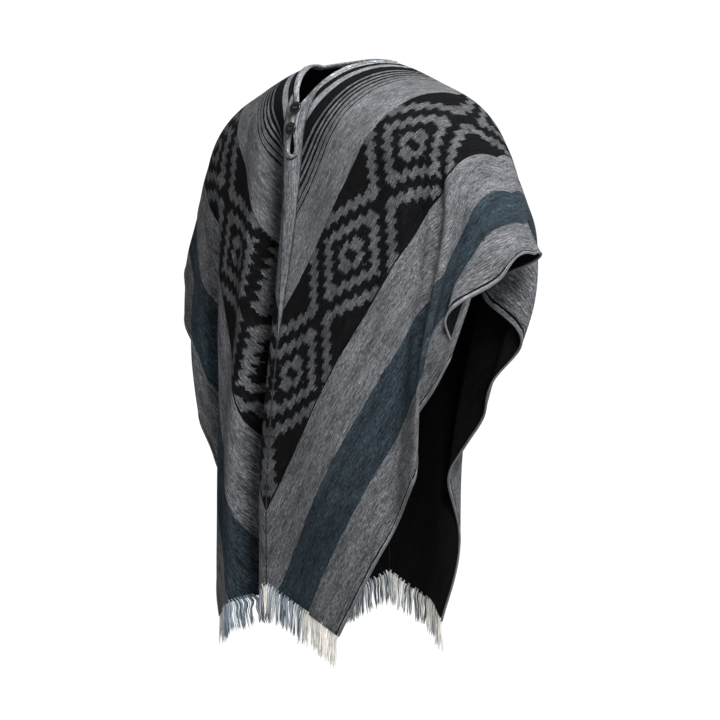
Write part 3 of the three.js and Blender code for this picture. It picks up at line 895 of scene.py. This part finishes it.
class PONCHO_OT_binding(bpy.types.Operator):
    """Build the folded binding round the neck and slit, with its row of stitches"""
    bl_idname = "poncho.binding"
    bl_label = "Neck binding"

    def execute(self, context):
        cloth = context.scene.poncho_cloth
        colours = context.scene.poncho_colours
        centres, ups, halves = binding_path(cloth.binding_half_width)
        loop = np.concatenate((centres, ups, halves[:, None]), axis=1)
        loop = resampled(np.concatenate((loop, loop[:1])), BINDING_STEP)[:-1]
        centres, ups, halves = loop[:, :3], loop[:, 3:6], loop[:, 6]
        along = np.roll(centres, -1, axis=0) - np.roll(centres, 1, axis=0)
        along /= np.linalg.norm(along, axis=1, keepdims=True)
        wide = np.cross(along, ups)
        wide /= np.linalg.norm(wide, axis=1, keepdims=True)
        high = np.cross(wide, along)
        places = np.arange(len(centres))
        swell = 1 + 0.07 * np.sin(places * 1.1) * np.sin(places * 0.37)
        thickness = BINDING_HALF_THICKNESS * swell
        points, faces, cut = loop_tube(centres, wide, high, halves * swell, thickness, 20)
        faces = face_outward(points, faces)
        finish = plain_wool("binding_wool", tuple(colours.binding), 0.9)
        new_piece("bound_neck", points, faces, ["neck_binding"], [finish], None, cut)

        outer_side = centres + wide * (halves * 0.62)[:, None] + high * 0.0021
        step = max(1, int(round(cloth.stitch_spacing / BINDING_STEP)))
        middles = outer_side[::step]
        lines = np.stack([
            middles + along[::step] * 0.0013 * t + high[::step] * 0.0007 * (1 - t * t)
            for t in np.linspace(-1, 1, 5)
        ], axis=1)
        radii = np.tile(0.00045 * np.array((0.4, 1.0, 1.1, 1.0, 0.4)), (len(middles), 1))
        points, faces = tubes(lines, radii, 6)
        thread = yarn("binding_thread", tuple(colours.pale))
        new_piece("binding_stitches", points, faces, [], [thread])
        return {"FINISHED"}


def sheet_line(side, u, v, in_front, offset):
    """Points along a line of a panel's places."""
    return panel_points(side, np.asarray(u, float), np.asarray(v, float), np.asarray(in_front), offset)


OVERCAST_STEP = 0.0009
OVERCAST_TURN = 0.0032                 # along the selvedge, from one turn of the yarn to the next
SEAM_PLACES = 260
SEAM_HEIGHT = CLOTH / 2 - 0.0006


class PONCHO_OT_edges(bpy.types.Operator):
    """Build the overcast selvedges and the ridges of the seams"""
    bl_idname = "poncho.edges"
    bl_label = "Selvedges and seams"

    def execute(self, context):
        cloth = context.scene.poncho_cloth
        colours = context.scene.poncho_colours
        overcast = yarn("overcast_yarn", scaled(tuple(colours.pale), 0.75))
        seam_yarn = yarn("seam_wool", scaled(tuple(colours.grey), 0.4))
        share = np.linspace(-1, 1, 700)
        v = PANEL_HALF_LENGTH * np.abs(share)
        for side in SIDES:
            line = sheet_line(side, np.full(700, PANEL_WIDTH - 0.0008), v, share > 0, 0.0)
            line = resampled(line, OVERCAST_STEP)
            twist = np.arange(len(line)) * 2 * np.pi * OVERCAST_STEP / OVERCAST_TURN
            radii = cloth.edging_radius * (1 + 0.16 * np.sin(twist))
            points, faces = tubes(line[None], radii[None], 8)
            new_piece("overcast_selvedge_" + side, points, faces, [], [overcast])

        rows = np.linspace(0, 1, SEAM_PLACES)
        in_front = np.ones(SEAM_PLACES, bool)
        front_v = SEAM_START + (PANEL_HALF_LENGTH - SEAM_START) * rows
        u = inner_edge("front", front_v)
        lines = [sheet_line(side, u, front_v, in_front, SEAM_HEIGHT) for side in SIDES]
        back_v = nape_corner()[1] + (PANEL_HALF_LENGTH - nape_corner()[1]) * rows
        u = inner_edge("back", back_v)
        lines.append(sheet_line("left", u, back_v, ~in_front, SEAM_HEIGHT))
        lines = np.array(lines)
        pucker = 1 + 0.18 * np.sin(rows * SEAM_PLACES * 0.9)
        points, faces = tubes(lines, np.tile(cloth.seam_radius * pucker, (len(lines), 1)), 8)
        new_piece("seam_ridges", points, faces, [], [seam_yarn])
        return {"FINISHED"}


# Which yarn shows at the hem: the way from the centre seam to the selvedge, and shares of cream and grey.
FRINGE_MIXES = {
    "front_left": (
        (0.00, 0.35, 0.15), (0.12, 0.10, 0.15), (0.45, 0.20, 0.15), (0.62, 0.95, 0.05), (1.0, 1.0, 0.0)),
    "front_right": (
        (0.00, 0.90, 0.05), (0.10, 0.25, 0.15), (0.80, 0.10, 0.15), (0.88, 0.95, 0.0), (1.0, 0.95, 0.0)),
    "back_left": ((0.00, 0.55, 0.20), (0.30, 0.35, 0.25), (0.65, 0.80, 0.15), (1.0, 0.70, 0.20)),
    "back_right": ((0.00, 0.55, 0.20), (0.30, 0.25, 0.25), (0.70, 0.60, 0.20), (1.0, 0.85, 0.10)),
}
YARN_ROOT = 0.004                      # how far inside the hem a yarn starts
YARN_MARGIN = 0.0015                   # from the seam and the selvedge to the first and last yarn
YARN_PLACES = 10
YARN_SIDES = 5
YARN_TAPER = np.array((0.9, 1.0, 1.0, 1.0, 0.97, 0.92, 0.85, 0.72, 0.5, 0.15))
TASSEL_GATHER = 0.35                   # how far the yarns of a tassel close up at their ends
UPRIGHT = 0.85                         # 0 follows the slanting warp, 1 hangs straight down


class PONCHO_OT_fringe(bpy.types.Operator):
    """Build the loose warp ends at the four hems"""
    bl_idname = "poncho.fringe"
    bl_label = "Fringe"

    def execute(self, context):
        fringe = context.scene.poncho_fringe
        colours = context.scene.poncho_colours
        finishes = [
            yarn(tone + "_yarn", tuple(getattr(colours, tone))) for tone in ("cream", "ice", "grey")
        ]
        for number, sheet in enumerate(FRINGE_MIXES):
            chance = np.random.default_rng(fringe.seed + number)
            points, faces, tones = self.strands(sheet, fringe, chance)
            new_piece(
                "loose_fringe_" + sheet, points, faces, ["fringe_" + sheet], finishes, tones)
        return {"FINISHED"}

    def strands(self, sheet, fringe, chance):
        """All yarns of one hem: points, faces, and each face's finish."""
        face = sheet.split("_")[0]
        root_v = PANEL_HALF_LENGTH - YARN_ROOT
        start = float(inner_edge(face, np.array([root_v]))[0]) + YARN_MARGIN
        end = PANEL_WIDTH - YARN_MARGIN
        tassels = int((end - start) / fringe.spacing)
        down = np.linspace(0, 1, YARN_PLACES)
        tassel = np.repeat(np.arange(tassels), fringe.yarns)
        count = len(tassel)
        order = np.arange(tassels) + 0.5 + chance.uniform(-0.3, 0.3, tassels)
        tassel_u = np.clip(start + (end - start) * order / tassels, start, end)
        tassel_length = fringe.length * chance.uniform(0.86, 1.02, tassels)
        tassel_lean = chance.normal(0, 0.0030, tassels)
        tassel_out = chance.normal(0, 0.0022, tassels)

        yarn_length = tassel_length[tassel] * chance.uniform(0.80, 1.0, count)
        root = tassel_u[tassel] + chance.uniform(-0.5, 0.5, count) * fringe.spacing
        root = np.clip(root, start, end)
        gather = smoothstep(0.15, 0.95, down)[None, :] * TASSEL_GATHER
        u = root[:, None] * (1 - gather) + tassel_u[tassel][:, None] * gather
        phase = chance.uniform(0, 2 * np.pi, (count, 4))
        curl = chance.uniform(0.0001, 0.0006, (count, 2))
        wave = chance.uniform(2, 6, (count, 2))
        u = u + tassel_lean[tassel][:, None] * down ** 1.6
        u = u + chance.normal(0, 0.0012, count)[:, None] * down ** 2
        u = u + (curl[:, :1] * np.sin(wave[:, :1] * down + phase[:, :1])) * down
        offset = tassel_out[tassel][:, None] * down ** 1.5
        offset = offset + chance.uniform(-0.0011, 0.0011, count)[:, None]
        offset = offset + (curl[:, 1:] * np.sin(wave[:, 1:] * down + phase[:, 1:2])) * down
        v = root_v + YARN_ROOT * down[None, :] + yarn_length[:, None] * down[None, :]
        x, y = flat_from_panel(u, v)
        upright = UPRIGHT * (v - PANEL_HALF_LENGTH).clip(0) * math.sin(TILT)
        x = np.maximum(0.0008, x + upright * smoothstep(0, 0.5, down)[None, :])
        lines = worn(sheet, x, y) + outward(sheet, x, y) * offset[..., None]
        radii = fringe.yarn_radius * chance.uniform(0.65, 1.25, count)[:, None] * YARN_TAPER[None, :]
        points, faces = tubes(lines, radii, YARN_SIDES)

        stops = np.array(FRINGE_MIXES[sheet])
        share = (root - start) / (end - start)
        cream = np.interp(share, stops[:, 0], stops[:, 1])
        grey = np.interp(share, stops[:, 0], stops[:, 2])
        pick = chance.uniform(0, 1, count)
        tone = np.where(pick < cream, 0, np.where(pick < cream + grey, 2, 1))
        return points, faces, np.repeat(tone, (YARN_PLACES - 1) * YARN_SIDES)


# Half a section of a button from the middle of its back: shares of its radius and thickness.
BUTTON_PROFILE = (
    (0.0, 0.0), (0.80, 0.0), (0.93, 0.10), (0.99, 0.32), (1.0, 0.55), (0.98, 0.78), (0.92, 0.94),
    (0.85, 1.0), (0.77, 0.97), (0.69, 0.82), (0.60, 0.70), (0.40, 0.66), (0.0, 0.66),
)
THREAD_RADIUS = 0.00045
SHANK_RADIUS = 0.0016
THREAD_PLACES = 11


def button_mesh(buttons):
    """A button blank with a rolled rim and a dished middle, its back at z = 0. Its four holes are cut by
    drill.
    """
    bm = bmesh.new()
    verts = [
        bm.verts.new((buttons.radius * across, 0, buttons.thickness * up)) for across, up in BUTTON_PROFILE
    ]
    edges = [bm.edges.new(pair) for pair in zip(verts, verts[1:])]
    bmesh.ops.spin(bm, geom=verts + edges, axis=(0, 0, 1), cent=(0, 0, 0), angle=2 * math.pi, steps=64)
    bmesh.ops.remove_doubles(bm, verts=bm.verts, dist=1e-5)
    bmesh.ops.recalc_face_normals(bm, faces=bm.faces)
    mesh = bpy.data.meshes.new("button")
    bm.to_mesh(mesh)
    bm.free()
    return mesh


def drill(mesh, buttons):
    """Cut the four holes through a button's mesh."""
    body = bpy.data.objects.new("button_blank", mesh)
    bm = bmesh.new()
    for i in range(4):
        angle = math.pi / 4 + i * math.pi / 2
        made = bmesh.ops.create_cone(
            bm, cap_ends=True, segments=20, radius1=buttons.hole_radius, radius2=buttons.hole_radius,
            depth=4 * buttons.thickness)
        shift = (buttons.hole_spread * math.cos(angle), buttons.hole_spread * math.sin(angle), 0)
        bmesh.ops.translate(bm, verts=made["verts"], vec=shift)
    pins_mesh = bpy.data.meshes.new("pins")
    bm.to_mesh(pins_mesh)
    bm.free()
    pins = bpy.data.objects.new("pins", pins_mesh)
    for item in (body, pins):
        bpy.context.scene.collection.objects.link(item)
    cut = body.modifiers.new("holes", "BOOLEAN")
    cut.operation = "DIFFERENCE"
    cut.solver = "EXACT"
    cut.object = pins
    shape = body.evaluated_get(bpy.context.evaluated_depsgraph_get())
    drilled = bpy.data.meshes.new_from_object(shape)
    bpy.data.objects.remove(body)
    bpy.data.objects.remove(pins)
    return drilled


class PONCHO_OT_buttons(bpy.types.Operator):
    """Build the two buttons and the thread that holds them"""
    bl_idname = "poncho.buttons"
    bl_label = "Buttons"

    def execute(self, context):
        buttons = context.scene.poncho_buttons
        colours = context.scene.poncho_colours
        horn = horn_finish(colours)
        thread = yarn("button_thread", scaled(tuple(colours.grey), 0.7))
        shape = drill(button_mesh(buttons), buttons)
        shape.materials.clear()
        shape.materials.append(horn)
        for name, y in BUTTON_PLACES.items():
            flat = np.array([0.0]), np.array([y])
            normal = outward("front_left", *flat)[0]
            normal[0] = 0.0
            normal /= np.linalg.norm(normal)
            place = worn("front_left", *flat)[0] + normal * BUTTON_STAND_OFF
            turn = Vector((0, 0, 1)).rotation_difference(Vector(normal)).to_matrix().to_4x4()
            button = bpy.data.objects.new("horn_" + name, shape.copy())
            button.data.transform(turn)
            button.data.transform(Matrix.Translation(Vector(place)))
            context.scene.collection.objects.link(button)
            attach(button, "root")
            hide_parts(name)

            spread = buttons.hole_spread * math.sqrt(0.5)
            lines = []
            for side in (-1, 1):
                for lift in (-0.0004, 0.0004):
                    bar = [
                        (side * spread + lift, t * spread, buttons.thickness * (0.30 + 0.48 * (1 - t ** 4)))
                        for t in np.linspace(-1, 1, THREAD_PLACES)
                    ]
                    lines.append([tuple(turn.to_3x3() @ Vector(p) + Vector(place)) for p in bar])
            shank = np.linspace(-BUTTON_STAND_OFF + CLOTH / 2, buttons.thickness * 0.3, THREAD_PLACES)
            lines.append([tuple(turn.to_3x3() @ Vector((0, 0, z)) + Vector(place)) for z in shank])
            radii = np.full((len(lines), THREAD_PLACES), THREAD_RADIUS)
            radii[-1] = SHANK_RADIUS
            points, faces = tubes(np.array(lines), radii, 8)
            new_piece("thread_" + name, points, faces, [], [thread])
        return {"FINISHED"}


class PONCHO_OT_declare(bpy.types.Operator):
    """Work out each panel's cut places and the names of its trims, and keep neither"""
    bl_idname = "poncho.declare"
    bl_label = "Cut sizes"

    def execute(self, context):
        cloth = context.scene.poncho_cloth
        for side in SIDES:
            u, v, in_front = panel_places(cloth.columns, cloth.rows)
            trims = [f"overcast_selvedge_{side}", f"loose_fringe_front_{side}", f"loose_fringe_back_{side}"]
            if side == "left":
                trims += ["bound_neck", "binding_stitches", "seam_ridges"]
        return {"FINISHED"}


# ---------------------------------------------------------------- stage

def area_light(name, place, target, side, watts):
    data = bpy.data.lights.new(name, "AREA")
    data.shape = "RECTANGLE"
    data.size = side
    data.size_y = side
    data.energy = watts
    light = bpy.data.objects.new(name, data)
    light.location = place
    light.rotation_euler = (Vector(target) - Vector(place)).to_track_quat("-Z", "Y").to_euler()
    bpy.context.scene.collection.objects.link(light)


class PONCHO_OT_camera(bpy.types.Operator):
    """Place the camera"""
    bl_idname = "poncho.camera"
    bl_label = "Camera"

    def execute(self, context):
        stage = context.scene.poncho_stage
        target = Vector((0, 0, (CAD_BOX[0][2] + CAD_BOX[1][2]) / 2))
        level = math.cos(stage.elevation)
        away = Vector((
            level * math.sin(stage.azimuth), -level * math.cos(stage.azimuth), math.sin(stage.elevation)))
        data = bpy.data.cameras.new("camera")
        data.sensor_width = 36
        data.lens = stage.lens
        data.shift_x = 0.0042
        data.shift_y = -0.0028
        camera = bpy.data.objects.new("camera", data)
        camera.location = target + away * stage.distance
        camera.rotation_euler = (-away).to_track_quat("-Z", "Y").to_euler()
        context.scene.collection.objects.link(camera)
        context.scene.camera = camera
        return {"FINISHED"}


class PONCHO_OT_stage(bpy.types.Operator):
    """Lay the floor and set the soft lights"""
    bl_idname = "poncho.stage"
    bl_label = "Stage"

    def execute(self, context):
        stage = context.scene.poncho_stage
        bm = bmesh.new()
        bmesh.ops.create_grid(bm, x_segments=1, y_segments=1, size=60)
        mesh = bpy.data.meshes.new("floor")
        bm.to_mesh(mesh)
        bm.free()
        floor = bpy.data.objects.new("floor", mesh)
        floor.location = (0, 0, stage.floor)
        context.scene.collection.objects.link(floor)
        finish = Finish("floor")
        finish.shader.inputs["Base Color"].default_value = (0.12, 0.12, 0.12, 1)
        finish.shader.inputs["Roughness"].default_value = 0.9
        finish.shader.inputs["Specular IOR Level"].default_value = 0.1
        finish.shader.inputs["Emission Color"].default_value = (1, 1, 1, 1)
        finish.shader.inputs["Emission Strength"].default_value = 0.94
        mesh.materials.append(finish.material)

        world = bpy.data.worlds.new("surroundings")
        world.use_nodes = True
        self.surround(world.node_tree, stage)
        context.scene.world = world
        area_light("key", (1.25, -0.50, 0.95), (0.05, 0, -0.10), 0.8, stage.key)
        area_light("fill", (-0.6, -3.0, 0.6), (0, 0, -0.40), 2.4, stage.fill)
        sky = bpy.data.lights.new("top", "SUN")
        sky.energy = stage.top
        sky.angle = math.radians(40)
        top = bpy.data.objects.new("top", sky)
        top.rotation_euler = Vector((-0.25, -0.45, -1.0)).to_track_quat("-Z", "Y").to_euler()
        context.scene.collection.objects.link(top)
        context.scene.view_settings.view_transform = "Standard"
        return {"FINISHED"}

    def surround(self, tree, stage):
        """Pale surroundings, white all round near the horizon."""
        places = tree.nodes.new("ShaderNodeTexCoord")
        split = tree.nodes.new("ShaderNodeSeparateXYZ")
        height = tree.nodes.new("ShaderNodeMath")
        height.operation = "ABSOLUTE"
        strength = tree.nodes.new("ShaderNodeMapRange")
        strength.interpolation_type = "SMOOTHSTEP"
        strength.inputs["From Min"].default_value = stage.white_height
        strength.inputs["From Max"].default_value = 2 * stage.white_height
        strength.inputs["To Min"].default_value = stage.white
        strength.inputs["To Max"].default_value = stage.pale
        background = tree.nodes["Background"]
        background.inputs["Color"].default_value = (1, 1, 1, 1)
        tree.links.new(places.outputs["Generated"], split.inputs[0])
        tree.links.new(split.outputs["Z"], height.inputs[0])
        tree.links.new(height.outputs[0], strength.inputs["Value"])
        tree.links.new(strength.outputs["Result"], background.inputs["Strength"])


class PONCHO_PT_panel(bpy.types.Panel):
    bl_idname = "PONCHO_PT_panel"
    bl_label = "Poncho"
    bl_space_type = "VIEW_3D"
    bl_region_type = "UI"
    bl_category = "Poncho"

    def draw(self, context):
        for settings in SETTINGS:
            group = getattr(context.scene, settings)
            for prop in group.bl_rna.properties:
                if prop.identifier not in {"rna_type", "name"}:
                    self.layout.prop(group, prop.identifier)
        for step in STEPS:
            self.layout.operator(step.bl_idname)


SETTINGS = {
    "poncho_cloth": PonchoCloth,
    "poncho_fringe": PonchoFringe,
    "poncho_buttons": PonchoButtons,
    "poncho_colours": PonchoColours,
    "poncho_stage": PonchoStage,
}
STEPS = (
    PONCHO_OT_camera, PONCHO_OT_panels, PONCHO_OT_placket, PONCHO_OT_binding, PONCHO_OT_edges,
    PONCHO_OT_fringe, PONCHO_OT_buttons, PONCHO_OT_declare, PONCHO_OT_stage,
)


def register():
    for item in (*SETTINGS.values(), *STEPS, PONCHO_PT_panel):
        bpy.utils.register_class(item)
    for name, group in SETTINGS.items():
        setattr(bpy.types.Scene, name, PointerProperty(type=group))


def unregister():
    for name in SETTINGS:
        delattr(bpy.types.Scene, name)
    for item in reversed((*SETTINGS.values(), *STEPS, PONCHO_PT_panel)):
        bpy.utils.unregister_class(item)


def main():
    register()
    bpy.ops.poncho.camera()
    bpy.ops.poncho.panels()
    bpy.ops.poncho.placket()
    bpy.ops.poncho.binding()
    bpy.ops.poncho.edges()
    bpy.ops.poncho.fringe()
    bpy.ops.poncho.buttons()
    bpy.ops.poncho.declare()
    bpy.ops.poncho.stage()


if __name__ == "__main__":
    main()
